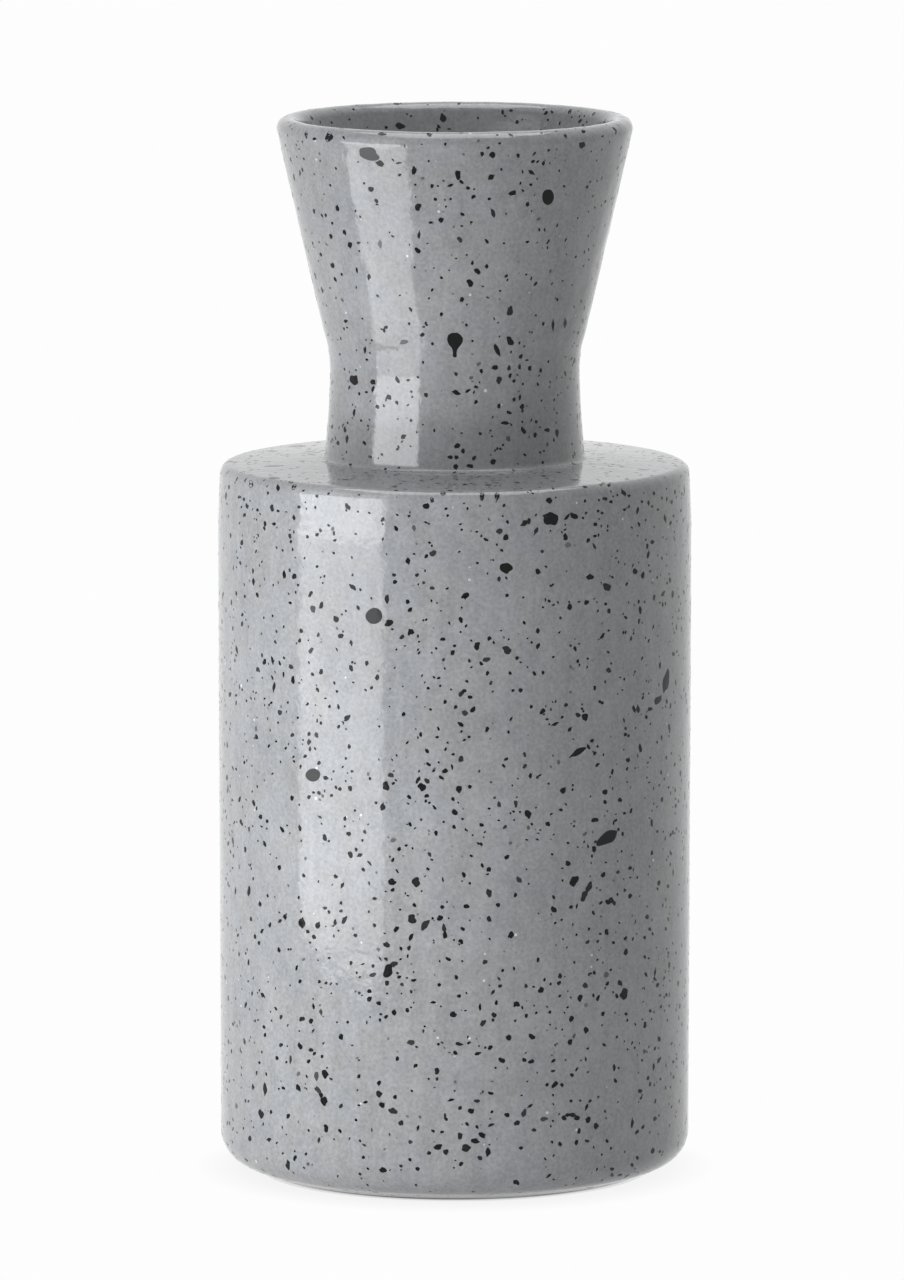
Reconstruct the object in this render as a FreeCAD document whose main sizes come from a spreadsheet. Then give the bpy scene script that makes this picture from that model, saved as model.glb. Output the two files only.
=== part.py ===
import FreeCAD, Part
import math
import os
import Sketcher

# Bottle vase of glazed stoneware, standing on z = 0 with its axis on Z, in millimetres.
# Five clay sections are luted into one hollow body, and two coats of glaze cover it.
# The clay outline is drawn first, and each coat follows it at one thickness.

SIZES = {
    # fired glaze
    "glaze_thickness": 0.4,
    "glaze_edge_gap": 2.5,
    # foot and floor
    "foot_ring_width": 5.0,
    "foot_recess": 1.2,
    "floor_thickness": 7.0,
    "bevel_run": 12.7,
    "bevel_rise": 4.4,
    "base_round": 7.7,
    "floor_round": 9.0,
    "base_joint_rise": 3.0,
    # cylinder
    "body_radius": 59.6,
    "wall_taper": 0.4,
    "clay_wall": 4.9,
    # shoulder
    "shoulder_height": 180.3,
    "turn_in": 0.6,
    "turn_in_drop": 14.2,
    "turn_in_round": 120.0,
    "edge_round": 2.4,
    "shoulder_rise": 1.6,
    "shoulder_thickness": 5.4,
    "underside_round": 6.0,
    "shoulder_joint_drop": 18.0,
    # neck
    "neck_radius": 31.05,
    "neck_foot_flare": 1.55,
    "neck_foot_round": 1.8,
    "waist_flare": 0.55,
    "waist_rise": 11.7,
    "waist_round": 70.0,
    "kink_rise": 24.7,
    "kink_round": 28.0,
    "neck_wall": 4.7,
    "throat_round": 3.0,
    "collar_joint_rise": 4.2,
    # mouth
    "mouth_radius": 45.2,
    "mouth_rise": 86.2,
    "lip_width": 5.35,
    "lip_round_share": 0.46,
    "glaze_seam_drop": 7.0,
    # how far a cutting cylinder runs past the clay
    "overrun": 10.0,
}


class Size:
    """A length, with the formula in sheet cells that gives it."""

    def __init__(self, value, formula):
        self.value = value
        self.formula = formula

    def __add__(self, other):
        return Size(self.value + other.value, f"{self.formula} + {other.formula}")

    def __sub__(self, other):
        return Size(self.value - other.value, f"{self.formula} - ({other.formula})")

    def __mul__(self, other):
        return Size(self.value * other.value, f"({self.formula}) * ({other.formula})")


class Corner:
    """A corner of an outline, sharp unless it has a round."""

    def __init__(self, radius, height, round=None):
        self.radius = radius
        self.height = height
        self.round = round

    def point(self):
        return FreeCAD.Vector(self.radius.value, self.height.value, 0)


ZERO = Size(0, "0")


def size(name):
    return Size(SIZES[name], f"sizes.{name}")


def fill_sheet(doc):
    sheet = doc.addObject("Spreadsheet::Sheet", "sizes")
    for row, (name, value) in enumerate(SIZES.items(), start=1):
        sheet.set(f"A{row}", name)
        sheet.set(f"B{row}", str(value))
        sheet.setAlias(f"B{row}", name)


def levels():
    """Heights of the clay form above the table."""
    floor = size("foot_recess") + size("floor_thickness")
    shoulder = size("shoulder_height")
    neck_foot = shoulder + size("shoulder_rise")
    lip = neck_foot + size("mouth_rise")
    return {
        "floor": floor,
        "base_joint": floor + size("floor_round") + size("base_joint_rise"),
        "shoulder_joint": shoulder - size("shoulder_joint_drop"),
        "turn_in": shoulder - size("turn_in_drop"),
        "underside": shoulder - size("shoulder_thickness"),
        "throat": neck_foot - size("shoulder_thickness"),
        "shoulder": shoulder,
        "neck_foot": neck_foot,
        "collar_joint": neck_foot + size("collar_joint_rise"),
        "waist": neck_foot + size("waist_rise"),
        "kink": neck_foot + size("kink_rise"),
        "glaze_seam": lip - size("glaze_seam_drop"),
        "lip": lip,
    }


def foot_radius():
    return size("body_radius") - size("wall_taper") - size("bevel_run")


def foot_corners():
    """Recessed underside and foot ring, from the axis outwards."""
    ring_inside = foot_radius() - size("foot_ring_width")
    return [
        Corner(ZERO, size("foot_recess")),
        Corner(ring_inside, size("foot_recess")),
        Corner(ring_inside, ZERO),
    ]


def outside_corners(level):
    """Outside of the clay, from the foot ring up to the lip."""
    wall_foot = size("body_radius") - size("wall_taper")
    edge = size("body_radius") - size("turn_in")
    neck_foot = size("neck_radius") + size("neck_foot_flare")
    waist = size("neck_radius") + size("waist_flare")
    return [
        Corner(foot_radius(), ZERO),
        Corner(wall_foot, size("bevel_rise"), size("base_round")),
        Corner(size("body_radius"), level["turn_in"], size("turn_in_round")),
        Corner(edge, level["shoulder"], size("edge_round")),
        Corner(neck_foot, level["neck_foot"], size("neck_foot_round")),
        Corner(waist, level["waist"], size("waist_round")),
        Corner(size("neck_radius"), level["kink"], size("kink_round")),
        Corner(size("mouth_radius"), level["lip"], size("lip_width") * size("lip_round_share")),
    ]


def inside_corners(level):
    """Inside of the clay, from the lip down the bore to the middle of the floor."""
    lip_inside = size("mouth_radius") - size("lip_width")
    bore = size("neck_radius") - size("neck_wall")
    wall = size("body_radius") - size("wall_taper") - size("clay_wall")
    return [
        Corner(lip_inside, level["lip"], size("lip_width") * size("lip_round_share")),
        Corner(bore, level["kink"], size("kink_round")),
        Corner(bore, level["throat"], size("throat_round")),
        Corner(wall, level["underside"], size("underside_round")),
        Corner(wall, level["floor"], size("floor_round")),
        Corner(ZERO, level["floor"]),
    ]


def out_of(run):
    """Unit vector square to a run, pointing out of the clay."""
    along = (run[1] - run[0]).normalize()
    return FreeCAD.Vector(along.y, -along.x, 0)


def crossing(first, second):
    """Where two runs cross, or would cross if they were longer."""
    along, across = first[1] - first[0], second[1] - second[0]
    reach = (second[0] - first[0]).cross(across).z / along.cross(across).z
    return first[0] + along * reach


class Piece:
    """A line or an arc of a sketch, with its geometry, its ends and its round."""

    def __init__(self, item, ends, start, end, round=None, centre=None, proud=True):
        self.item = item
        self.ends = ends
        self.start = start
        self.end = end
        self.round = round
        self.centre = centre
        self.proud = proud


class Outline:
    """A sketch of straight runs and tangent arcs, held by the sheet through its corners."""

    def __init__(self, body, name):
        self.sketch = body.newObject("Sketcher::SketchObject", name)
        plane = [item for item in body.Origin.OriginFeatures if item.Role == "XZ_Plane"][0]
        self.sketch.AttachmentSupport = [(plane, "")]
        self.sketch.MapMode = "FlatFace"

    def tie(self, *constraint):
        return self.sketch.addConstraint(Sketcher.Constraint(*constraint))

    def tie_size(self, length, *constraint):
        index = self.tie(*constraint, length.value)
        self.sketch.setExpression(f"Constraints[{index}]", length.formula)

    def place(self, corner, item, end):
        """Hold one end of an item at a corner."""
        if corner.radius is ZERO:
            self.tie("PointOnObject", item, end, -2)
        else:
            self.tie_size(corner.radius, "DistanceX", -1, 1, item, end)
        if corner.height is ZERO:
            self.tie("PointOnObject", item, end, -1)
        else:
            self.tie_size(corner.height, "DistanceY", -1, 1, item, end)

    def line(self, start, end):
        item = self.sketch.addGeometry(Part.LineSegment(start, end), False)
        return Piece(item, (1, 2), start, end)

    def arc(self, centre, start, end, round, proud):
        """Arc from start to end; it turns left where the clay stands proud, else right."""
        first = math.atan2(start.y - centre.y, start.x - centre.x)
        last = math.atan2(end.y - centre.y, end.x - centre.x)
        low, high = (first, last) if proud else (last, first)
        circle = Part.Circle(centre, FreeCAD.Vector(0, 0, 1), round.value)
        item = self.sketch.addGeometry(Part.ArcOfCircle(circle, low, high), False)
        self.tie_size(round, "Radius", item)
        return Piece(item, (1, 2) if proud else (2, 1), start, end, round, centre, proud)

    def join(self, before, after, kind):
        self.tie(kind, before.item, before.ends[1], after.item, after.ends[0])

    def through(self, corner, *pieces):
        """Hold lines to a corner that lies beyond their ends."""
        point = self.sketch.addGeometry(Part.Point(corner.point()), True)
        self.place(corner, point, 1)
        for piece in pieces:
            self.tie("PointOnObject", point, 1, piece.item)

    def chain(self, corners):
        """Lines from corner to corner, with a tangent arc at each rounded one."""
        points = [corner.point() for corner in corners]
        runs = list(zip(points, points[1:]))
        arcs = {}
        for index in range(1, len(runs)):
            round = corners[index].round
            if round:
                before, after = runs[index - 1], runs[index]
                proud = out_of(before).cross(out_of(after)).z > 0
                inset = round.value if proud else -round.value
                shifted = [[end - out_of(run) * inset for end in run] for run in (before, after)]
                centre = crossing(*shifted)
                ends = [centre + out_of(run) * inset for run in (before, after)]
                arcs[index] = centre, ends[0], ends[1], round, proud
        pieces = []
        for index, (start, end) in enumerate(runs):
            if index in arcs:
                start = arcs[index][2]
            if index + 1 in arcs:
                end = arcs[index + 1][1]
            run = self.line(start, end)
            if index in arcs:
                bend = self.arc(*arcs[index])
                self.join(pieces[-1], bend, "Tangent")
                self.join(bend, run, "Tangent")
                self.through(corners[index], pieces[-1], run)
                pieces.append(bend)
            elif pieces:
                self.join(pieces[-1], run, "Coincident")
                self.place(corners[index], run.item, run.ends[0])
            pieces.append(run)
        return pieces

    def coat(self, chain, thickness):
        """The same lines and arcs again, moved out of the clay by one thickness."""
        pieces = []
        for base in chain:
            if base.centre:
                start = base.centre + (base.start - base.centre) * self.growth(base, thickness)
                end = base.centre + (base.end - base.centre) * self.growth(base, thickness)
                round = base.round + thickness if base.proud else base.round - thickness
                piece = self.arc(base.centre, start, end, round, base.proud)
                self.tie("Coincident", base.item, 3, piece.item, 3)
            else:
                shift = out_of((base.start, base.end)) * thickness.value
                piece = self.line(base.start + shift, base.end + shift)
            if pieces:
                self.join(pieces[-1], piece, "Tangent")
            pieces.append(piece)
        self.tie("Parallel", chain[0].item, pieces[0].item)
        self.tie("Parallel", chain[-1].item, pieces[-1].item)
        return pieces

    def growth(self, base, thickness):
        moved = thickness.value if base.proud else -thickness.value
        return (base.round.value + moved) / base.round.value

    def close(self, first, first_end, second, second_end):
        """A line from one free end to another."""
        start = first.start if first_end == first.ends[0] else first.end
        end = second.start if second_end == second.ends[0] else second.end
        piece = self.line(start, end)
        self.tie("Coincident", piece.item, 1, first.item, first_end)
        self.tie("Coincident", piece.item, 2, second.item, second_end)
        return piece


def turned(body, outline):
    """Revolve an outline once round the vase's axis."""
    turn = body.newObject("PartDesign::Revolution", f"{body.Name}_turned")
    turn.Profile = outline.sketch
    turn.ReferenceAxis = (outline.sketch, ["V_Axis"])
    turn.Angle = 360
    body.Tip = turn


def clay_form(doc, level):
    """The whole clay vessel, before it is parted into its sections."""
    body = doc.addObject("PartDesign::Body", "clay_form")
    outline = Outline(body, "clay_outline")
    corners = foot_corners() + outside_corners(level) + inside_corners(level)
    pieces = outline.chain(corners)
    outline.place(corners[0], pieces[0].item, 1)
    outline.place(corners[-1], pieces[-1].item, 2)
    outline.close(pieces[-1], 2, pieces[0], 1)
    turned(body, outline)
    return body


def section(doc, form, label, bottom, top):
    """The ring of the clay form between two level joints."""
    band = doc.addObject("Part::Cylinder", f"{label}_band")
    band.setExpression("Radius", (size("body_radius") + size("overrun")).formula)
    band.setExpression("Height", (top - bottom).formula)
    band.setExpression("Placement.Base.z", bottom.formula)
    ring = doc.addObject("Part::Common", label)
    ring.Base = form
    ring.Tool = band
    ring.Label = label
    return ring


def outer_glaze(doc, level):
    """Coat over the outside and the lip, from above the foot to the seam inside the mouth."""
    body = doc.addObject("PartDesign::Body", "outer_glaze")
    body.Label = "outer_glaze"
    outline = Outline(body, "outer_glaze_outline")
    foot, seam_run = outside_corners(level)[0], inside_corners(level)[1]
    corners = outside_corners(level) + inside_corners(level)[:2]
    inner = outline.chain(corners)
    outline.through(foot, inner[0])
    outline.through(seam_run, inner[-1])
    outer = outline.coat(inner, size("glaze_thickness"))
    edge = outline.close(inner[0], 1, outer[0], 1)
    outline.tie("Vertical", edge.item)
    outline.tie_size(foot_radius() + size("glaze_edge_gap"), "DistanceX", -1, 1, edge.item, 1)
    seam = outline.close(inner[-1], 2, outer[-1], 2)
    outline.tie("Horizontal", seam.item)
    outline.tie_size(level["glaze_seam"], "DistanceY", -1, 1, seam.item, 1)
    turned(body, outline)
    return body


def inner_glaze(doc, level):
    """Coat that makes the inside watertight, from the seam in the mouth down to the floor."""
    body = doc.addObject("PartDesign::Body", "inner_glaze")
    body.Label = "inner_glaze"
    outline = Outline(body, "inner_glaze_outline")
    corners = inside_corners(level)
    outer = outline.chain(corners)
    outline.through(corners[0], outer[0])
    outline.place(corners[-1], outer[-1].item, 2)
    inner = outline.coat(outer, size("glaze_thickness"))
    seam = outline.close(outer[0], 1, inner[0], 1)
    outline.tie("Horizontal", seam.item)
    outline.tie_size(level["glaze_seam"], "DistanceY", -1, 1, seam.item, 1)
    middle = outline.close(outer[-1], 2, inner[-1], 2)
    outline.tie("PointOnObject", middle.item, 2, -2)
    turned(body, outline)
    return body


def check(doc, nodes):
    for item in doc.Objects:
        if "Invalid" in item.State or "Error" in item.State:
            raise RuntimeError(f"{item.Label} did not build: {item.State}")
        if item.TypeId == "Sketcher::SketchObject" and not item.FullyConstrained:
            raise RuntimeError(f"{item.Label} is not held in every direction")
    for node in nodes:
        if node.Shape.isNull() or not node.Shape.isValid() or len(node.Shape.Solids) != 1:
            raise RuntimeError(f"{node.Label} is not one valid solid")


def build():
    doc = FreeCAD.newDocument("bottle_vase")
    fill_sheet(doc)
    level = levels()
    clay = clay_form(doc, level)
    joints = [
        ("base_slab", ZERO - size("overrun"), level["base_joint"]),
        ("body_wall", level["base_joint"], level["shoulder_joint"]),
        ("shoulder_disc", level["shoulder_joint"], level["collar_joint"]),
        ("neck_collar", level["collar_joint"], level["kink"]),
        ("flared_mouth", level["kink"], level["lip"] + size("overrun")),
    ]
    nodes = [section(doc, clay, *joint) for joint in joints]
    nodes += [outer_glaze(doc, level), inner_glaze(doc, level)]
    doc.recompute()
    check(doc, nodes)
    os.makedirs("parts", exist_ok=True)
    for node in nodes:
        node.Shape.exportStep(f"parts/{node.Label}.step")
        print(node.Label, round(node.Shape.Volume), node.Shape.BoundBox)


build()
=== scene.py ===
import math
import random

import bpy
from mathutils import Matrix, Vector, noise
from mathutils.bvhtree import BVHTree


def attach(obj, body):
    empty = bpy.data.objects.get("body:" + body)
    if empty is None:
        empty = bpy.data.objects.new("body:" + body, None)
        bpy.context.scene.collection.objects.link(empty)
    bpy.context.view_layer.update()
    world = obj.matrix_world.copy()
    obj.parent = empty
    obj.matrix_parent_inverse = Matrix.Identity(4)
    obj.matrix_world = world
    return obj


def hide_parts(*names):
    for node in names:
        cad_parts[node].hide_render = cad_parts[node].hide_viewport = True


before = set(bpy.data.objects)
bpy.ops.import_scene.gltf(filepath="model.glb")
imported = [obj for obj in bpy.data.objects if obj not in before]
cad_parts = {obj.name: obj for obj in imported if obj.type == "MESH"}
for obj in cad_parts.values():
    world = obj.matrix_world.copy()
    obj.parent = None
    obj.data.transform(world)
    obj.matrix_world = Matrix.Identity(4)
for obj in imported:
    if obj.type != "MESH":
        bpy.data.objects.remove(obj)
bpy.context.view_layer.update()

MM = 0.001
TURN = 2 * math.pi

# Outline
# The clay outline, in millimetres: radius, height, round. The coats of glaze follow it.
GLAZE = 0.4
GLAZE_EDGE_RADIUS = 49.0   # the outer coat starts here, on the base's bevel
SEAM_HEIGHT = 261.1        # the two coats meet here, inside the mouth
CLAY_FLOOR = 8.2
LIP_ROUND = 2.461
OUTSIDE = [
    (46.5, 0.0, 0),
    (59.2, 4.4, 7.7),
    (59.6, 166.1, 120.0),
    (59.0, 180.3, 2.4),
    (32.6, 181.9, 1.8),
    (31.6, 193.6, 70.0),
    (31.05, 206.6, 28.0),
    (45.2, 268.1, LIP_ROUND),
]
INSIDE = [
    (39.85, 268.1, LIP_ROUND),
    (26.35, 206.6, 28.0),
    (26.35, 176.5, 3.0),
    (54.3, 174.9, 6.0),
    (54.3, CLAY_FLOOR, 9.0),
    (0.0, CLAY_FLOOR, 0),
]
NECK_OUTSIDE = 29.5        # the neck's outer side lies beyond this radius, its bore within
BORE_END = 170.0           # the inner coat is hidden below this height
HIDDEN_EVERY = 4           # and keeps one ring in so many there
STEPS_ROUND = 336
VISIBLE_STEP = 1.4
HIDDEN_STEP = 6.0
ARC_STEP = 0.12            # radians
SHARP_ANGLE = math.radians(50)


def out_of(start, end):
    """The outward normal of a straight run."""
    along = (end - start).normalized()
    return Vector((along.y, -along.x))


def cross(a, b):
    return a.x * b.y - a.y * b.x


def cut(start, end, lift, axis, value):
    """Where a straight run starts or ends, so that its lifted copy lies at a radius or height."""
    along = (end - start).normalized()
    wanted = value - (start + out_of(start, end) * lift)[axis]
    return start + along * (wanted / along[axis])


def outline(corners, lift, step, first=None, last=None):
    """(point, outward normal) along straight runs and tangent arcs, lifted off the clay."""
    points = [Vector(corner[:2]) for corner in corners]
    normals = [out_of(a, b) for a, b in zip(points, points[1:])]
    made = []

    def run(start, end, normal):
        count = max(1, round((end - start).length / step))
        for k in range(count):
            made.append((start.lerp(end, k / count) + normal * lift, normal))

    start = points[0]
    if first:
        start = cut(points[0], points[1], lift, *first)
    for i in range(1, len(points) - 1):
        before, after = normals[i - 1], normals[i]
        inset = math.copysign(corners[i][2], cross(before, after))
        way_in, way_out = points[i] - points[i - 1], points[i + 1] - points[i]
        moved_in, moved_out = points[i] - before * inset, points[i] - after * inset
        centre = moved_in + way_in * (cross(moved_out - moved_in, way_out) / cross(way_in, way_out))
        run(start, centre + before * inset, before)
        turn = before.angle_signed(after) * -1
        count = max(2, math.ceil(abs(turn) / ARC_STEP), round(abs(turn * inset) / step))
        for k in range(count):
            a = turn * k / count
            n = Vector((before.x * math.cos(a) - before.y * math.sin(a),
                        before.x * math.sin(a) + before.y * math.cos(a)))
            made.append((centre + n * (inset + lift), n))
        start = centre + after * inset
    end = points[-1]
    if last:
        end = cut(points[-2], points[-1], lift, *last)
    run(start, end, normals[-1])
    made.append((end + normals[-1] * lift, normals[-1]))
    return made


# Hand-made waves, in millimetres: how deep each kind is, and over what distance it changes
CREASE_TOP, CREASE_LOW, CREASE_FOOT = 215.1, 210.9, 206.5
CREASE_DEPTH = 0.2
CREASE_SWAY, SWAY_SIZE = 1.1, 18.0
CREASE_MARGIN = 3.0
CREASE_PARTS = 3           # the mesh is finer at the crease by so much
MEAN_DEPTH, LEAST_DEPTH, MOST_DEPTH = 0.06, 0.022, 0.17
SLOW_DEPTH, SLOW_SIZE = 0.045, 21.0
FINE_DEPTH, FINE_MORE_ON_MOUTH, FINE_SIZE = 0.016, 0.02, 5.2
LUMP_DEPTH_ON_MOUTH, LUMP_SIZE = 0.095, 6.0
MOUTH_FOOT, MOUTH_FADE = 206.0, 12.0


def crease(x, y, z):
    """The shallow ring where the funnel meets the collar: steep above, easier below."""
    if math.hypot(x, y) < NECK_OUTSIDE:
        return 0.0
    z -= CREASE_SWAY * noise.noise(Vector((x, y, 0)) / SWAY_SIZE)
    if not CREASE_FOOT < z < CREASE_TOP:
        return 0.0
    end = CREASE_TOP if z > CREASE_LOW else CREASE_FOOT
    share = (z - end) / (CREASE_LOW - end)
    return CREASE_DEPTH * (1 - math.cos(math.pi * share)) / 2


def waves(place):
    """How far the glazed surface lies inside its ideal place, mm."""
    x, y, z = place
    slow = noise.noise(Vector((x, y, z * 0.6)) / SLOW_SIZE)
    fine = noise.noise(Vector((x, y, z * 0.7)) / FINE_SIZE + Vector((7, 3, 1)))
    lumps = noise.noise(Vector((x, y, z)) / LUMP_SIZE + Vector((2, 9, 5)))
    on_mouth = min(1.0, max(0.0, (z - MOUTH_FOOT) / MOUTH_FADE))
    depth = MEAN_DEPTH + SLOW_DEPTH * slow + (FINE_DEPTH + FINE_MORE_ON_MOUTH * on_mouth) * fine
    depth += LUMP_DEPTH_ON_MOUTH * lumps * on_mouth
    return min(MOST_DEPTH, max(LEAST_DEPTH, depth)) + crease(x, y, z)


def new_piece(name, points, faces, sharp_angle):
    """A smooth mesh object of points given in millimetres."""
    mesh = bpy.data.meshes.new(name)
    mesh.from_pydata([p * MM for p in points], [], faces)
    mesh.shade_smooth()
    mesh.set_sharp_from_angle(angle=sharp_angle)
    piece = bpy.data.objects.new(name, mesh)
    bpy.context.collection.objects.link(piece)
    return piece


def ring(point, normal, wavy):
    """One turn round the axis, or its single point where the outline meets the axis."""
    radius, height = point
    if radius < 1e-6:
        return [Vector((0, 0, height))]
    made = []
    for k in range(STEPS_ROUND):
        a = TURN * k / STEPS_ROUND
        c, s = math.cos(a), math.sin(a)
        p = Vector((radius * c, radius * s, height))
        if wavy:
            n = Vector((normal.x * c, normal.x * s, normal.y))
            p -= n * waves(p)
        made.append(p)
    return made


def shell(name, wavy_side, clay_side):
    """A closed shell: the glaze's own surface, then back along the clay."""
    rings = [ring(p, n, True) for p, n in wavy_side]
    rings += [ring(p, n, False) for p, n in reversed(clay_side)]
    points, starts = [], []
    for r in rings:
        starts.append(len(points))
        points += r
    faces = []
    for i, here in enumerate(rings):
        after = rings[(i + 1) % len(rings)]
        a, b = starts[i], starts[(i + 1) % len(rings)]
        if len(here) == 1 and len(after) == 1:
            continue
        for k in range(STEPS_ROUND):
            m = (k + 1) % STEPS_ROUND
            if len(here) == 1:
                faces.append((a, b + m, b + k))
            elif len(after) == 1:
                faces.append((a + k, a + m, b))
            else:
                faces.append((a + k, a + m, b + m, b + k))
    piece = new_piece(name, points, faces, SHARP_ANGLE)
    piece.data.validate()
    return piece, points, faces


def finer(path, low, high, parts):
    """The same path with each of its steps between two heights cut into parts."""
    made = []
    for (a, a_normal), (b, b_normal) in zip(path, path[1:]):
        count = parts if low < a.y < high and a.x > NECK_OUTSIDE else 1
        for k in range(count):
            made.append((a.lerp(b, k / count), a_normal.lerp(b_normal, k / count).normalized()))
    return made + path[-1:]


outer_corners = OUTSIDE + INSIDE[:2]
outer_ends = dict(first=(0, GLAZE_EDGE_RADIUS), last=(1, SEAM_HEIGHT))
outer_path = finer(outline(outer_corners, GLAZE, VISIBLE_STEP, **outer_ends),
                   CREASE_FOOT - CREASE_MARGIN, CREASE_TOP + CREASE_MARGIN, CREASE_PARTS)
outer_clay = outline(outer_corners, 0.0, HIDDEN_STEP, **outer_ends)
inner_ends = dict(first=(1, SEAM_HEIGHT))
inner_path = outline(INSIDE, GLAZE, VISIBLE_STEP, **inner_ends)
bore_end = [p.y > BORE_END for p, _ in inner_path].index(False)
inner_path = inner_path[:bore_end] + inner_path[bore_end::HIDDEN_EVERY]
inner_path[-1] = (Vector((0, CLAY_FLOOR + GLAZE)), Vector((0, 1)))
inner_clay = outline(INSIDE, 0.0, HIDDEN_STEP, **inner_ends)
inner_clay[-1] = (Vector((0, CLAY_FLOOR)), Vector((0, 1)))

outer_coat, outer_points, outer_faces = shell("glaze_outside", outer_path, outer_clay)
inner_coat, inner_points, inner_faces = shell("glaze_inside", inner_path, inner_clay)
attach(outer_coat, "root")
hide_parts("outer_glaze")
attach(inner_coat, "root")
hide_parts("inner_glaze")

shift = len(outer_points)
surface = BVHTree.FromPolygons(
    outer_points + inner_points,
    outer_faces + [tuple(i + shift for i in f) for f in inner_faces],
)

# Camera
# Fitted to the photograph's outline: millimetres, and pixels of the 904 x 1280 frame.
FRAME_WIDTH, FRAME_HEIGHT = 904, 1280
CAMERA_PLACE = Vector((-0.7, -2972.1, 543.5))
CAMERA_PITCH = math.radians(7.82)
FOCAL_PIXELS = 11830.0
SENSOR = 36.0

camera_data = bpy.data.cameras.new("camera")
camera_data.sensor_width = SENSOR
camera_data.lens = FOCAL_PIXELS * SENSOR / FRAME_HEIGHT
camera_data.clip_start = 0.05
camera_data.clip_end = 60
camera = bpy.data.objects.new("camera", camera_data)
camera.location = CAMERA_PLACE * MM
camera.rotation_euler = (math.pi / 2 - CAMERA_PITCH, 0, 0)
bpy.context.collection.objects.link(camera)
bpy.context.scene.camera = camera


def seen_at(x, y):
    """The spot of the glazed surface, and its normal, that the photograph shows at a pixel."""
    forward = Vector((0, math.cos(CAMERA_PITCH), -math.sin(CAMERA_PITCH)))
    up = Vector((0, math.sin(CAMERA_PITCH), math.cos(CAMERA_PITCH)))
    right = Vector((1, 0, 0))
    ray = forward + right * ((x - FRAME_WIDTH / 2) / FOCAL_PIXELS)
    ray += up * ((FRAME_HEIGHT / 2 - y) / FOCAL_PIXELS)
    place, normal, _, _ = surface.ray_cast(CAMERA_PLACE, ray.normalized())
    return place, normal


# Iron specks
# Read from the photograph: centre in its pixels, width, height, tilt in degrees
# (anticlockwise), and optionally how pale the speck is, from 0 to 1. On specks inside the band
# that mirrors the soft box, such as those at (374, 616), (313, 609) and (313, 775), that
# paleness is a painted highlight; elsewhere it is the speck's own paler colour.
NECK_SPECKS = [
    (369, 154, 22, 12, -16, 0.2), (380, 163.5, 10, 5, -24), (548, 197, 12, 15.5, 0),
    (455, 345, 16, 25, 0), (354, 380, 8, 11, 0), (373, 382, 5, 6, 0), (329, 137, 7, 11, -30),
    (382, 134, 9, 3, 0), (582, 145, 6, 7, 0), (458, 175, 6, 9, 0), (468, 188, 4, 4, 0),
    (432, 186, 4, 4, 0), (418, 207, 6, 8, 0), (441, 220, 5, 6, 0), (419, 235, 3, 8, 0),
    (380, 244, 4, 9, 0, 0.5), (493, 213, 4, 10, 25), (470, 283, 6, 8, 10), (510, 311, 6, 10, 0),
    (510, 341, 6, 10, 15), (497, 350, 5, 13, 25), (565, 323, 3, 10, 0), (553, 325, 3, 11, 0),
    (404, 342, 8, 5, 0, 0.4), (365, 350, 3, 7, 0), (350, 245, 4, 7, 0), (369, 277, 3, 7, 0),
    (499, 380, 6, 7, 0), (456, 374, 4, 4, 0), (509, 368, 4, 5, 0), (470, 466, 7, 4, 0),
    (463, 451, 4, 5, 20), (474, 458, 4, 5, -30), (426, 395, 4, 5, 0), (499, 406, 4, 5, 0),
    (505, 423, 8, 4, 0), (535, 435, 4, 5, 0), (557, 433, 3, 10, 0), (476, 402, 4, 4, 0),
    (347, 439, 3, 8, 0), (338, 443, 3, 5, 0),
]
MOUTH_SPECKS = [
    (443, 118, 6, 9, 0), (400, 126, 10, 6, 0), (411, 116, 2.4, 2.2, 0), (407, 114, 2, 2, 0),
    (511, 110.5, 5, 2.4, 10), (517, 122, 4, 4, 0), (546, 113, 5, 3, 30), (552, 112, 3, 3, 0),
    (580, 121, 5, 3, 40), (478, 118, 2.4, 2.4, 0), (505, 116, 3, 2, 0), (449, 129, 4, 2, 0),
]
SHOULDER_SPECKS = [
    (272, 451, 10, 1.6, 0), (251, 456, 5, 1.4, 0), (235, 462, 5, 1.5, 0), (302, 461, 6, 1.4, 0),
    (274, 478, 12, 2.4, 0), (465, 484.5, 5, 2, 0), (627, 479, 5, 1.8, 0), (291, 482, 5, 3, 0),
    (585, 487, 5, 2.5, 0),
]
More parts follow.
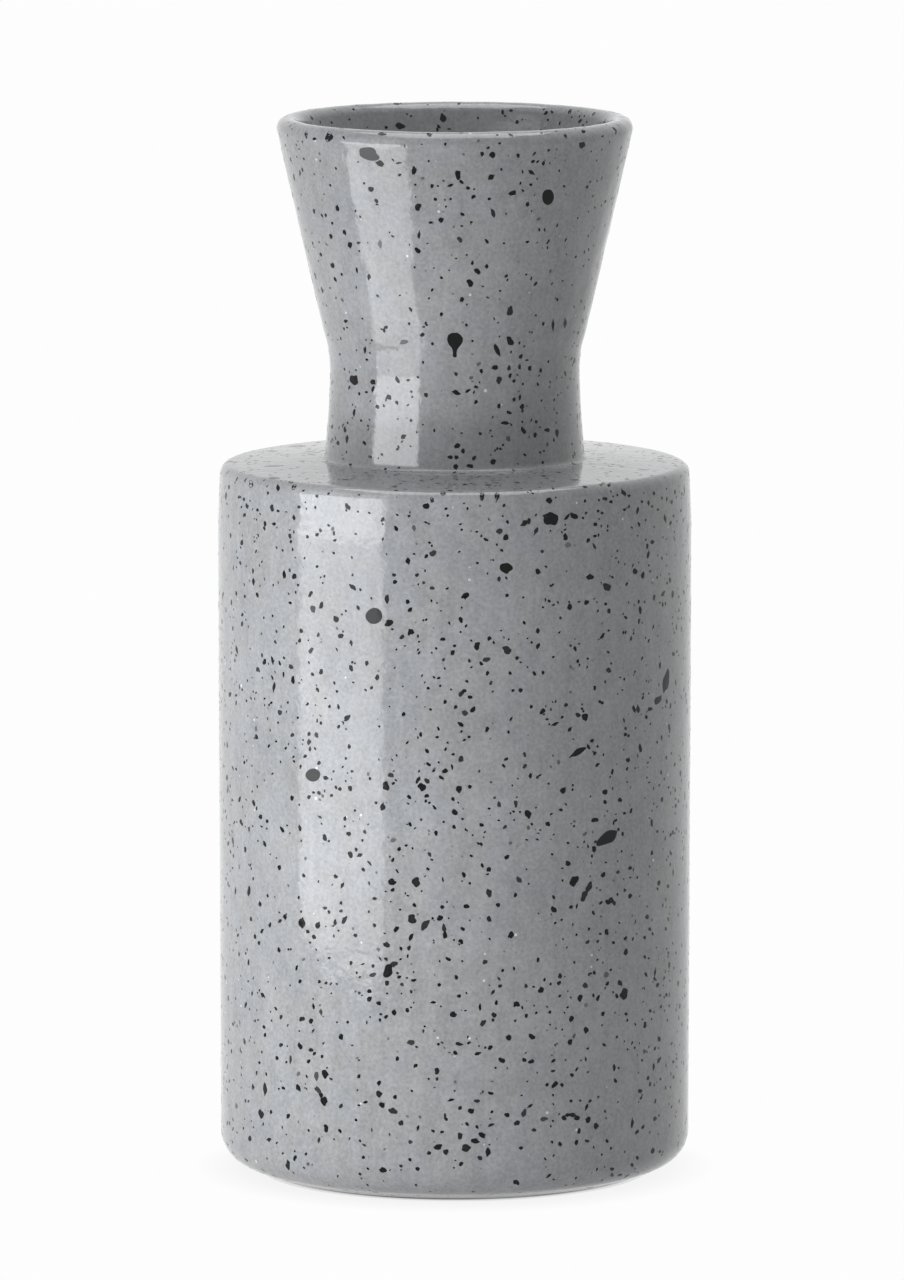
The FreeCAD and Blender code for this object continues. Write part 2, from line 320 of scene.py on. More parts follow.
UPPER_SPECKS = [
    (251, 484, 5, 7, 0), (278, 488, 3, 8, 0), (239, 497, 2, 4, 0), (229, 487, 2.5, 4, 0),
    (226, 496, 2, 9, 0), (247, 506, 3, 6, 10), (244.5, 515, 3, 4, 0), (257.5, 510, 3, 3, 0),
    (272, 508, 4, 7, 0), (278, 511, 3, 3, 0), (299, 507, 4, 3, 0), (294, 517.5, 3, 6, 0),
    (268, 493, 2, 4, 0), (443, 493.5, 5.5, 4.5, -25), (432, 500, 4, 6, 0),
    (482, 496, 5, 9, 0), (497, 496, 5, 11, -8), (504, 505.5, 3, 4, 0), (480, 505.7, 2, 2, 0),
    (467.5, 508.5, 2, 4, 0), (446, 508.7, 3, 3, 0), (409, 516, 3, 3, 0), (507.5, 522, 3, 4, 0),
    (603, 483.5, 4, 3, 30), (609, 485, 4, 3, 30), (623.5, 492.6, 4, 8, 30), (629, 495.7, 3, 3, 0),
    (605, 498.8, 5, 4, 0), (611, 501.8, 4, 3, 0), (585, 501, 3, 3, 0), (598, 511, 3, 3, 0),
    (602, 513, 3, 3, 0), (642, 501.7, 2.5, 3, 0), (648.5, 503, 2, 6, 0), (652, 506.5, 2, 3, 0),
    (658, 509.7, 2, 3, 0), (662, 498, 2, 3, 0), (671.6, 502, 2, 5, 0), (624.5, 509.6, 3, 3, 0),
    (665, 518.5, 2.6, 8, 10), (670.5, 523, 2.2, 5, -20), (673.5, 516, 2, 3, 0),
    (682, 493.7, 1.6, 4, 0), (681, 510.5, 1.6, 4, 0), (583, 518, 2.5, 3, 0), (586, 513, 2.5, 3, 0),
    (551, 519, 14, 14, 0), (546, 516, 6, 5, 20), (574, 516, 8, 6, -30), (567, 517, 8, 3, 45),
    (525, 523, 10, 5, 25), (529, 521, 4, 6, 0), (536, 531, 4, 8, -25), (506, 568, 12, 11, -30),
    (499, 579, 4, 5, 0), (568, 545, 6, 6, 0, 0.55), (414, 528, 4, 6, 0, 0.3), (408, 561, 4, 8, 15),
]
MIDDLE_SPECKS = [
    (374, 616, 17, 16, 0, 0.08), (389, 623, 8, 7, 20), (387, 599, 5, 8, 0), (313, 609, 5, 8, 0, 0.15),
    (394, 575, 4, 4, 0), (417, 575, 4, 4, 0), (477, 646, 6, 8, 0), (507, 650, 10, 7, -25),
    (517, 658, 4, 4, 0), (402, 637, 6, 4, 25), (590, 577, 7, 6, 30), (607, 587, 8, 8, 0),
    (609, 611, 4, 5, 0), (538, 646, 4, 6, -20), (666, 681, 6, 24, -8), (658, 700, 5, 12, -35),
    (293, 680, 4, 8, 0), (274, 687, 3, 10, -10), (461, 694, 5, 6, -20), (464, 691, 5, 4, 0),
    (578, 715, 5, 5, 0), (585, 717, 6, 8, -30), (555, 724, 8, 3, 20), (566, 705, 4, 4, 0),
    (634, 709, 3, 8, 10), (638, 709, 4, 8, 0), (650, 709, 5, 4, 0), (578, 752, 18, 6, 33),
    (309, 742, 3.5, 7, 0), (310, 749, 2.5, 6, 0), (313, 775, 15, 13, 0, 0.1), (319, 763, 4, 4, 0),
    (309, 734, 3, 5, 0), (319, 793, 4, 4, 0), (309, 797, 4, 4, 0), (461, 759, 6, 6, 0),
    (445, 771, 6, 5, 0), (422, 787, 8, 8, 0), (418, 780, 4, 7, -35), (427, 781, 5, 6, 35),
    (386, 786, 7, 9, 0), (528, 814, 7, 8, 0), (292, 798, 4, 5, 0), (620, 800, 4, 5, 0),
    (605, 802, 4, 4, 0), (453, 799, 4, 4, 0), (628, 760, 4, 5, 0), (607, 838, 24, 12, 33),
    (594, 849, 5, 6, 0), (454, 827, 4, 4, 0), (436, 833, 4, 5, 0), (630, 868, 4, 4, 0),
    (574, 881, 8, 11, -20), (584, 896, 6, 11, -25), (589, 887, 6, 10, -25), (608, 902, 5, 6, 30),
    (611, 900, 6, 5, 0), (614, 903, 4, 5, 0), (630, 896, 4, 5, 0), (571, 907, 4, 4, 0),
    (489, 893, 6, 8, 0), (498, 905, 4, 5, 0), (489, 919, 5, 6, 0),
]
LOWER_SPECKS = [
    (412, 919, 9, 9, 0), (425, 925, 7, 11, -30), (416, 882, 9, 9, 0), (392, 882, 9, 6, 0),
    (440, 918, 6, 6, 0), (444, 928, 4, 9, 0), (445, 935, 5, 7, 10), (411, 937, 4, 8, -35),
    (409, 948, 4, 5, 0), (511, 935, 5, 8, -35), (302, 923, 6, 12, 0), (314, 937, 4, 5, 0),
    (249, 891, 3, 11, 0), (260, 904, 3, 6, 0), (285, 917, 3, 7, 0), (280, 921, 3, 5, -30),
    (270, 925, 2.5, 6, 0), (262, 931, 3, 5, -30), (251, 919, 2.5, 5, 0), (259, 943, 2.5, 5, 0),
    (388, 971, 9, 14, -25), (394, 964, 7, 6, 0), (386, 959, 5, 3, -40), (387, 983, 5, 5, 0),
    (325, 908, 5, 3, 0), (329, 912, 3, 4, 0), (341, 903, 3.5, 3.5, 0), (341, 911, 3.5, 3.5, 0),
    (373, 966, 3.5, 3.5, 0), (363, 964, 4, 2, 20), (351, 963, 3, 5, 0), (326, 983, 3, 3.5, 0),
    (485, 962, 5, 5, 0), (560, 976, 4, 6, -20), (559, 983, 4, 5, -20), (541, 990, 5, 7, -15),
    (526, 986, 4, 4, 0), (624, 994, 8, 11, -25), (620, 983, 4, 7, 20), (598, 998, 3.5, 6, -20),
    (586, 1005, 5, 4, 40, 0.6), (483, 1023, 5, 7, -25), (459, 1044, 7, 4, -15), (494, 1015, 6, 5, 0),
    (493, 1020, 3, 4, 0), (500, 986, 4, 4, -25), (493, 992, 3, 6, -30), (480, 1007, 3, 7, 0),
    (459, 996, 4, 4, 0), (321, 1012, 3, 7, 0, 0.15), (302, 1019, 5, 6, -50), (311, 1021, 5, 5, 0),
    (281, 1017, 3.5, 4.5, 0), (264, 1027, 3, 4, 0), (265, 1035, 3, 4, 0), (300, 1046, 4, 8, 15),
    (311, 1050, 4.5, 4.5, 0), (281, 1045, 3.5, 5, -30), (277, 1058, 3, 5, 10), (437, 1071, 5, 7, -20),
    (437, 1079, 3.5, 3.5, 0), (325, 1074, 7, 8, 20), (331, 1079, 4, 2.5, -40),
    (316.5, 1076, 5, 8, 0, 0.2), (318, 1090, 5, 8, 35, 0.12), (324, 1101, 7, 9, 35),
    (321, 1095, 4, 6, 35), (379, 1083, 4.5, 5, 0),
    (379, 1094, 6, 7, -20), (382, 1105, 6, 6, 0), (393, 1111, 9, 6, -30), (401, 1123, 5, 6, 0),
    (395, 1097, 4.5, 4, 0), (265, 1089, 4, 13, 0), (253, 1087, 2.5, 6, 0), (261, 1114, 4.5, 11, 8),
    (271, 1112, 3, 4, 0), (341, 1106, 4, 5, -20), (356, 1120, 3, 3, 0), (340, 1131, 3, 5, 25),
    (319, 1140, 3, 6, -20), (288, 1165, 4.5, 10, 8), (295, 1158, 3.5, 6, -10), (306, 1154, 3, 3, 0),
    (308, 1164, 3, 4, 0, 0.3), (360, 1174, 3, 3, 0), (401, 1166, 3.5, 3.5, 0), (438, 1147, 8, 6, 0),
    (446, 1152, 5, 6, 0), (429, 1153, 5, 3.5, 0), (433, 1131, 4, 3, -30), (442, 1132, 4, 3, 30),
    (418, 1128, 3, 6, -25), (420, 1117, 3, 3, 0, 0.3), (451, 1100, 7, 3, 12), (445, 1116, 3, 6, 0),
    (446, 1119, 5, 3, -30), (471, 1111, 6, 6, 0), (460, 1108, 4, 4, 0), (477, 1101, 6, 4, 0),
    (507, 1115, 5, 5, 0), (517, 1123, 6, 5.5, 20), (524, 1113, 5, 8, -10, 0.1), (530, 1106, 7, 2.5, 30),
    (544, 1119, 9, 4, 0, 0.2), (564, 1118, 5, 5, 20), (568, 1115, 6, 4, 0), (573, 1115, 6, 4.5, 0),
    (577, 1118, 5, 6, -30), (596, 1126, 4.5, 7, -20), (579, 1131, 3.5, 6, -20), (534, 1130, 4.5, 4, 0),
    (491, 1125, 7, 3, 30), (467, 1124, 5, 3, -35), (477, 1127, 4, 3, -45), (460, 1136, 5.5, 6.5, 0),
    (475, 1141, 9, 5, 0), (482, 1135, 8, 5, -15), (466, 1148, 10, 7, 15), (488, 1152, 5, 9, -15),
    (445, 1152, 4, 5, 0), (480, 1158, 5, 5, -30), (461, 1164, 5, 4, 20), (560, 1144, 3.5, 5, 0),
    (552, 1142, 3, 3, 0), (521, 1148, 4, 4, 15), (632, 1165, 3.5, 4, 0), (612, 1169, 4, 4, 0),
    (612, 1175, 3, 4, 0), (620, 1175, 5, 2.5, 20), (607, 1141, 3, 4, 0), (587, 1141, 5, 3, 0),
    (637, 1132, 3, 6, -30), (640, 1091, 4, 5, -40), (590, 1101, 4, 3, 35), (571, 1101, 3.5, 3, 20),
    (553, 1071, 4.5, 3, 0), (572, 1075, 4, 4, 0), (562, 1085, 4, 4, 0), (570, 1042, 4, 7, -20),
    (574, 1036, 3, 5, -20, 0.3), (586, 1030, 4, 8, 0), (659, 1060, 3, 7, -25), (648, 1078, 3, 4, 0),
]
SPECKS = (NECK_SPECKS + MOUTH_SPECKS + SHOULDER_SPECKS + UPPER_SPECKS + MIDDLE_SPECKS
          + LOWER_SPECKS)
TEARDROP_AT = (455, 345)
SMOOTH_ONES = [(548, 197), (374, 616), (313, 775)]
SMOOTH_ROUGH = 0.02
SPECK_SEED = 41
PIXEL = 1 / 3.943          # millimetres on the vase's axis
SPECK_LIFT = 0.018         # how far a speck's top stands off the glaze
SPECK_ROOT = 0.07          # how deep its underside lies
SPECK_SHARP_ANGLE = math.radians(40)
RING_GAP = 0.9             # between the rings of points in a larger speck
MOST_STRETCH = 2.2         # a rim point more sizes away than this has missed the place
SLIM = 1.9                 # a speck longer than so many widths is a spindle
SPINDLE_END, SPINDLE_SWELL = 0.45, 0.65

# Corners of a rim and how uneven it is, each up to a size in millimetres, and how pale a
# small speck is, up to a draw.
ANY = math.inf
SEEN_CORNERS = [(1.6, 10), (3.0, 16), (ANY, 24)]
SEEN_ROUGH = [(3.0, 0.13), (ANY, 0.09)]
SEEN_TONES = [0.0, 0.0, 0.03, 0.06]
SMALL_CORNERS = [(1.1, 7), (2.0, 10), (ANY, 16)]
SMALL_ROUGH = 0.12
SMALL_TONES = [(0.82, 0.0), (0.93, 0.1), (ANY, 0.4)]


def by_limit(value, steps):
    """What the first step whose limit is above the value gives."""
    return next(given for limit, given in steps if value < limit)


class Speckle:
    """One mesh of many small irregular specks, each a closed sliver let into the glaze."""

    def __init__(self):
        self.points, self.faces, self.paleness_and_highlight_values = [], [], []

    def add(self, at, outline_points, size, paleness_and_highlight):
        """at(x, y) gives place and normal; outline_points is the rim round (0, 0)."""
        middle = at(0, 0)
        if middle[0] is None:
            return
        levels = max(1, math.ceil(size / 2 / RING_GAP))
        rings = []
        for level in range(1, levels + 1):
            share = level / levels
            spots = [at(x * share, y * share) for x, y in outline_points]
            if any(spot[0] is None for spot in spots):
                return
            if any((spot[0] - middle[0]).length > MOST_STRETCH * size for spot in spots):
                return
            rings.append(spots)
        first = len(self.points)
        count = len(outline_points)
        tops = [middle] + [spot for spots in rings for spot in spots]
        self.points += [place + normal * SPECK_LIFT for place, normal in tops]
        self.points += [place - normal * SPECK_ROOT for place, normal in rings[-1]]
        # Each point keeps its speck's paleness; on specks in the soft box's band it is a painted
        # highlight.
        self.paleness_and_highlight_values += [paleness_and_highlight] * (len(tops) + count)
        for k in range(count):
            m = (k + 1) % count
            self.faces.append((first, first + 1 + k, first + 1 + m))
            for level in range(levels):
                a = first + 1 + level * count
                self.faces.append((a + k, a + count + k, a + count + m, a + m))
        low = first + 1 + levels * count
        self.faces.append(tuple(low + k for k in reversed(range(count))))

    def piece(self, name):
        made = new_piece(name, self.points, self.faces, SPECK_SHARP_ANGLE)
        # The paleness attribute, a painted highlight on specks in the soft box's band, goes to the
        # material.
        paleness_and_highlight = made.data.attributes.new("paleness_and_highlight", "FLOAT", "POINT")
        paleness_and_highlight.data.foreach_set("value", self.paleness_and_highlight_values)
        return made


def blob(rng, width, height, tilt, corners, rough):
    """Rim of an irregular oval, anticlockwise; a long one is pointed like a spindle."""
    turn = math.radians(tilt)
    phases = [rng.uniform(0, TURN) for _ in range(4)]
    slim = max(width, height) / min(width, height) > SLIM
    rim = []
    for k in range(corners):
        a = TURN * k / corners
        swell = 1 + sum(rough / (j + 1) ** 0.5 * math.cos((j + 2) * a + phases[j]) for j in range(4))
        across, along = math.cos(a), math.sin(a)
        if slim and width > height:
            along *= SPINDLE_END + SPINDLE_SWELL * along * along
        elif slim:
            across *= SPINDLE_END + SPINDLE_SWELL * across * across
        x, y = width / 2 * swell * across, height / 2 * swell * along
        rim.append((x * math.cos(turn) - y * math.sin(turn), x * math.sin(turn) + y * math.cos(turn)))
    return rim


def teardrop(width, height):
    """Rim of the hanging drop: broad above, drawn in to a thin tail with a blunt end."""
    left = [(-0.45, 0.97), (-0.85, 0.8), (-1.0, 0.5), (-0.93, 0.22), (-0.7, -0.02), (-0.42, -0.22),
            (-0.3, -0.42), (-0.26, -0.62), (-0.3, -0.82), (-0.2, -0.97)]
    right = [(0.14, -1.0), (0.24, -0.84), (0.2, -0.62), (0.27, -0.4), (0.5, -0.16), (0.8, 0.06),
             (0.97, 0.3), (1.0, 0.56), (0.72, 0.8), (0.3, 0.98)]
    return [(x * width / 2, y * height / 2) for x, y in left + right]


rng = random.Random(SPECK_SEED)
seen_specks, scattered = Speckle(), Speckle()
taken = []
for entry in SPECKS:
    x, y, width, height, tilt = entry[:5]
    # A listed paleness, which is a painted highlight on specks in the band that mirrors the soft box.
    paleness_and_highlight = entry[5] if len(entry) > 5 else rng.choice(SEEN_TONES)
    size = max(width, height) * PIXEL
    rough = SMOOTH_ROUGH if (x, y) in SMOOTH_ONES else by_limit(size, SEEN_ROUGH)
    rim = blob(rng, width, height, tilt, by_limit(size, SEEN_CORNERS), rough)
    if (x, y) == TEARDROP_AT:
        rim = teardrop(width, height)
    seen_specks.add(lambda a, b, x=x, y=y: seen_at(x + a, y - b), rim, size, paleness_and_highlight)
    place, _ = seen_at(x, y)
    if place:
        taken.append((place, size))

# Seeded smaller specks all over, thicker in some patches than in others, in millimetres.
SPECKS_PER_AREA, SPARE_DRAWS = 0.070, 1.35
INSIDE_FROM = 225.0        # inside the mouth they lie above this height
PATCH_SIZE, PATCH_MEAN, PATCH_SWING = 17.0, 0.72, 0.55
BODY_FROM, BODY_TO = 32.0, 206.0
OFF_BODY_DENSITY, INSIDE_DENSITY = 0.78, 0.5
MEAN_STRETCH, LONGEST = 0.6, 2.6
# Sizes, each up to a draw. The large ones lie only at the sides and back, which the
# photograph hides, and where the outside faces up.
SMALL_SIZES = [(0.55, (0.46, 0.76)), (0.86, (0.76, 1.14)), (ANY, (1.14, 1.7))]
LARGE_DRAW, LARGE_FROM, LARGE_MEAN, LARGEST = 0.965, 1.5, 0.9, 4.6
SHOWN_FRONT, FACING_UP = -8.0, 0.7
SPECK_GAP = 0.15
CROWDING_SIZE = 1.2        # a speck from this size on keeps others away
CELL = 4                   # side of the cells that the taken places are sorted into
HIT_FROM, HIT_REACH = 2.0, 5.0

path = outer_path + [item for item in inner_path if item[0].y > INSIDE_FROM]
areas = [(end - start).length * (start.x + end.x) / 2 * TURN
         for (start, _), (end, _) in zip(path, path[1:])]
total = sum(areas)
near = {}


def cell_of(place):
    """The cell that a place lies in."""
    return tuple(int(c // CELL) for c in place)


for place, size in taken:
    near.setdefault(cell_of(place), []).append((place, size))


def drawn_size(kind, unseen):
    """Width of a scattered speck for a draw from 0 to 1."""
    if unseen and kind >= LARGE_DRAW:
        return min(LARGE_FROM + rng.expovariate(1 / LARGE_MEAN), LARGEST)
    return rng.uniform(*by_limit(kind, SMALL_SIZES))


def clear_of_taken(place, reach):
    """Whether no speck placed so far lies within reach of a place."""
    cell = cell_of(place)
    for dx in (-1, 0, 1):
        for dy in (-1, 0, 1):
            for dz in (-1, 0, 1):
                for other, size in near.get((cell[0] + dx, cell[1] + dy, cell[2] + dz), []):
                    if (other - place).length < reach + size / 2:
                        return False
    return True


targets = sorted(rng.uniform(0, total) for _ in range(int(total * SPECKS_PER_AREA * SPARE_DRAWS)))
index, passed = 0, 0.0
for target in targets:
    while index < len(areas) - 1 and passed + areas[index] < target:
        passed += areas[index]
        index += 1
    share = (target - passed) / max(areas[index], 1e-9)
    spot = path[index][0].lerp(path[index + 1][0], min(1.0, share))
    normal = path[index][1].lerp(path[index + 1][1], min(1.0, share)).normalized()
    a = rng.uniform(0, TURN)
    centre = Vector((spot.x * math.cos(a), spot.x * math.sin(a), spot.y))
    facing = Vector((normal.x * math.cos(a), normal.x * math.sin(a), normal.y))
    outside = index < len(outer_path)
    density = PATCH_MEAN + PATCH_SWING * noise.noise(centre / PATCH_SIZE + Vector((3, 3, 3)))
    if not BODY_FROM <= centre.z <= BODY_TO:
        density *= OFF_BODY_DENSITY
    if not outside:
        density *= INSIDE_DENSITY
    draw, kind, tilt = rng.random(), rng.random(), rng.uniform(-90, 90)
    long = min(1 + abs(rng.gauss(0, MEAN_STRETCH)), LONGEST)
    pale = rng.random()
    if draw > density:
        continue
    size = drawn_size(kind, outside and (centre.y > SHOWN_FRONT or normal.y > FACING_UP))
    width, height = size / long ** 0.5, size * long ** 0.5
    if not clear_of_taken(centre, height / 2 + SPECK_GAP):
        continue
    if height > CROWDING_SIZE:
        near.setdefault(cell_of(centre), []).append((centre, height))
    across = Vector((-math.sin(a), math.cos(a), 0))
    along = facing.cross(across)

    def at(x, y, centre=centre, facing=facing, across=across, along=along):
        start = centre + across * x + along * y + facing * HIT_FROM
        place, hit_normal, _, _ = surface.ray_cast(start, -facing, HIT_REACH)
        return place, hit_normal

    rim = blob(rng, width, height, tilt, by_limit(height, SMALL_CORNERS), SMALL_ROUGH)
    scattered.add(at, rim, height, by_limit(pale, SMALL_TONES))

specks_large = seen_specks.piece("iron_specks_large")
specks_small = scattered.piece("iron_specks_small")
for piece in (specks_large, specks_small):
    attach(piece, "root")


# Materials
# Noise scales are in features a metre, and colours are linear.
class Nodes:
    """A node tree, written one node at a time."""

    def __init__(self, owner):
        owner.use_nodes = True
        self.tree = owner.node_tree
        self.tree.nodes.clear()

    def add(self, kind, inputs=None, **settings):
        node = self.tree.nodes.new(kind)
        for name, value in settings.items():
            setattr(node, name, value)
        for name, value in (inputs or {}).items():
            socket = node.inputs[name]
            if isinstance(value, bpy.types.NodeSocket):
                self.tree.links.new(value, socket)
            else:
                socket.default_value = value
        return node

    def math(self, operation, a, b=0.0, c=0.0, clamp=False):
        node = self.add("ShaderNodeMath", {0: a, 1: b, 2: c}, operation=operation)
        node.use_clamp = clamp
        return node.outputs[0]

    def mix(self, share, a, b, blend="MIX"):
        node = self.add("ShaderNodeMix", data_type="RGBA", blend_type=blend)
        for socket, value in ((node.inputs[0], share), (node.inputs[6], a), (node.inputs[7], b)):
            if isinstance(value, bpy.types.NodeSocket):
                self.tree.links.new(value, socket)
            else:
                socket.default_value = value
        return node.outputs[2]

    def remap(self, value, low, high, to_low=0.0, to_high=1.0):
        node = self.add("ShaderNodeMapRange", {0: value, 1: low, 2: high, 3: to_low, 4: to_high})
        node.clamp = True
        return node.outputs[0]

    def noise(self, where, scale, detail=2.0, roughness=0.5, squash=None):
        if squash:
            where = self.add("ShaderNodeMapping", {"Vector": where, "Scale": squash}).outputs[0]
        node = self.add("ShaderNodeTexNoise", {
            "Vector": where, "Scale": scale, "Detail": detail, "Roughness": roughness})
        return node.outputs["Fac"]


def rgb(red, green, blue):
    """A colour as a socket takes it, opaque."""
    return (red, green, blue, 1.0)


def peel_bump(nodes, where):
    """Fine relief of the fired glaze, the same over specks and glaze."""
    fine = nodes.noise(where, 420, 2.0, 0.5)
    lumps = nodes.noise(where, 150, 1.5, 0.5)
    height = nodes.math("MULTIPLY_ADD", lumps, 1.6, nodes.math("MULTIPLY", fine, 1.3))
    return nodes.add("ShaderNodeBump", {
        "Height": height, "Distance": 0.00005, "Strength": 1.0}).outputs[0]


def glaze_material(name, dark, light):
    """Glossy glaze: clouds, mottle, grain and streaks, whitish pits and the smallest specks."""
    material = bpy.data.materials.new(name)
    nodes = Nodes(material)
    where = nodes.add("ShaderNodeTexCoord").outputs["Object"]
    clouds = nodes.noise(where, 42, 3.0, 0.55)
    mottle = nodes.noise(where, 210, 3.5, 0.6)
    grain = nodes.noise(where, 1100, 2.0, 0.6)
    streaks = nodes.noise(where, 330, 2.5, 0.55, squash=(1, 1, 0.1))
    value = 0.0
    for layer, weight in ((clouds, 0.75), (mottle, 0.9), (grain, 1.6), (streaks, 0.65)):
        value = nodes.math("ADD", value, nodes.math("MULTIPLY_ADD", layer, weight, -weight / 2))
    value = nodes.math("ADD", value, 0.5, clamp=True)
    colour = nodes.mix(value, dark, light)
    tint = nodes.remap(nodes.noise(where, 95, 2.0, 0.5), 0.42, 0.62)
    colour = nodes.mix(nodes.math("MULTIPLY", tint, 0.55), colour, rgb(0.97, 1.0, 1.06), "MULTIPLY")
    # whitish pits
    pits = nodes.add("ShaderNodeTexVoronoi", {"Vector": where, "Scale": 260.0})
    pit_size = nodes.add("ShaderNodeSeparateColor", {"Color": pits.outputs["Color"]}).outputs
    reach = nodes.remap(pit_size[0], 0.6, 1.0, 0.0, 0.13)
    inside = nodes.math("SUBTRACT", reach, pits.outputs["Distance"])
    pit = nodes.remap(inside, 0.0, 0.05)
    colour = nodes.mix(nodes.math("MULTIPLY", pit, 0.7), colour, rgb(0.62, 0.63, 0.63))
    # smallest iron specks
    sway = nodes.add("ShaderNodeTexNoise", {"Vector": where, "Scale": 900.0}).outputs["Color"]
    sway = nodes.add("ShaderNodeVectorMath", {0: sway, 1: (0.0006, 0.0006, 0.0006)},
                     operation="MULTIPLY").outputs[0]
    bent = nodes.add("ShaderNodeVectorMath", {0: where, 1: sway}, operation="ADD").outputs[0]
    dots = nodes.add("ShaderNodeTexVoronoi", {"Vector": bent, "Scale": 430.0})
    dot_size = nodes.add("ShaderNodeSeparateColor", {"Color": dots.outputs["Color"]}).outputs
    reach = nodes.remap(dot_size[0], 0.35, 1.0, 0.0, 0.14)
    inside = nodes.math("SUBTRACT", reach, dots.outputs["Distance"])
    dot = nodes.math("MULTIPLY", nodes.remap(inside, 0.0, 0.03),
                     nodes.remap(dot_size[1], 0.0, 1.0, 0.35, 1.0))
    colour = nodes.mix(dot, colour, rgb(0.02, 0.021, 0.022))
    shader = nodes.add("ShaderNodeBsdfPrincipled", {
        "Base Color": colour,
        "Roughness": nodes.remap(mottle, 0.3, 0.7, 0.07, 0.11),
        "IOR": 1.5,
        "Normal": peel_bump(nodes, where),
    })
    nodes.add("ShaderNodeOutputMaterial", {"Surface": shader.outputs[0]})
    return material


def speck_material(name):
    """Near-black iron under the same gloss, made paler grey by each speck's listed paleness; on specks
    in the band that mirrors the soft box that paleness is a painted highlight.
    """
    material = bpy.data.materials.new(name)
    nodes = Nodes(material)
    where = nodes.add("ShaderNodeTexCoord").outputs["Object"]
    # Paler grey by the speck's paleness: its own paler colour, and a painted highlight on specks in the
    # soft box's band.
    paleness_and_highlight = nodes.add("ShaderNodeAttribute", attribute_name="paleness_and_highlight").outputs["Fac"]
    rust = nodes.noise(where, 900, 3.0, 0.6)
    black = nodes.mix(nodes.remap(rust, 0.35, 0.7), rgb(0.001, 0.001, 0.001), rgb(0.004, 0.004, 0.004))
    colour = nodes.mix(paleness_and_highlight, black, rgb(0.2, 0.205, 0.21))
    shader = nodes.add("ShaderNodeBsdfPrincipled", {
        "Base Color": colour,
        "Roughness": nodes.remap(rust, 0.3, 0.7, 0.1, 0.17),
        "IOR": 1.28,
        "Normal": peel_bump(nodes, where),
    })
    nodes.add("ShaderNodeOutputMaterial", {"Surface": shader.outputs[0]})
    return material


def clay_material(name):
    """Bare fired clay: warm and matt, with grit and turning marks."""
    material = bpy.data.materials.new(name)
    nodes = Nodes(material)
    where = nodes.add("ShaderNodeTexCoord").outputs["Object"]
    grit = nodes.noise(where, 1400, 3.0, 0.65)
    body = nodes.noise(where, 90, 3.0, 0.55)
    turning = nodes.noise(where, 700, 2.0, 0.5, squash=(0.05, 0.05, 1))
    colour = nodes.mix(body, rgb(0.30, 0.26, 0.215), rgb(0.42, 0.375, 0.32))
    colour = nodes.mix(nodes.remap(grit, 0.56, 0.72, 0.0, 0.7), colour, rgb(0.12, 0.1, 0.085))
    height = nodes.math("ADD", grit, turning)
    bump = nodes.add("ShaderNodeBump", {"Height": height, "Distance": 0.00012, "Strength": 1.0})
    shader = nodes.add("ShaderNodeBsdfPrincipled", {
        "Base Color": colour,
        "Roughness": nodes.remap(grit, 0.3, 0.7, 0.8, 0.95),
        "Normal": bump.outputs[0],
    })
    nodes.add("ShaderNodeOutputMaterial", {"Surface": shader.outputs[0]})
    return material


DARK, LIGHT = rgb(0.159, 0.163, 0.166), rgb(0.251, 0.256, 0.261)
outer_coat.data.materials.append(glaze_material("speckled_glaze", DARK, LIGHT))
inner_coat.data.materials.append(glaze_material("speckled_glaze_inside", DARK, LIGHT))
speck = speck_material("iron_speck")
for piece in (specks_large, specks_small):
    piece.data.materials.append(speck)
clay = clay_material("bare_stoneware")
for node in ("base_slab", "body_wall", "shoulder_disc", "neck_collar", "flared_mouth"):
    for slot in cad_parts[node].material_slots:
        slot.material = clay

# Stage and light, in metres
WHITE = 0.983
FLOOR_REACH = 8.0
FLOOR_CLOTH = 0.8
# The contact shadow: a dark line close to the foot, and a faint wider shade.
LINE_REACH, LINE_POWER = 0.0008, 0.6
SHADE_REACH, SHADE_DARKEST = 0.010, 0.9
SHADE_SAMPLES = 8
# The world's light on the object: all round, and more from above.
FILL, OVERHEAD_FILL = 0.06, 0.7
# A soft box stands at the front left.
BOX_LEFT = Vector((-0.337, -0.090, 0))
BOX_RIGHT = Vector((-0.137, -0.228, 0))
BOX_COLOUR = (0.985, 0.995, 1.015)
# Its parts: how high each starts, how tall it is, and how bright.
BOX_PARTS = {
    "soft_box": (0.022, 0.128, 3.4),
    "soft_box_middle": (0.150, 0.060, 6.3),
    "soft_box_top": (0.210, 0.160, 1.2),
}
# A wide soft lamp high above, which the lip, the shoulder's edge and the fillets mirror.
OVERHEAD_PLACE = Vector((0, 0, 1.2))
OVERHEAD_SIDE = 1.0
OVERHEAD_RADIANCE = 3.4
# A low strip that lights the foot of the body, and isn't mirrored.
STRIP_PLACE = Vector((-0.20, -0.27, 0.03))
STRIP_AIM = Vector((0, 0, 0.02))
STRIP_WIDTH, STRIP_HEIGHT = 0.4, 0.05
STRIP_RADIANCE = 10.0

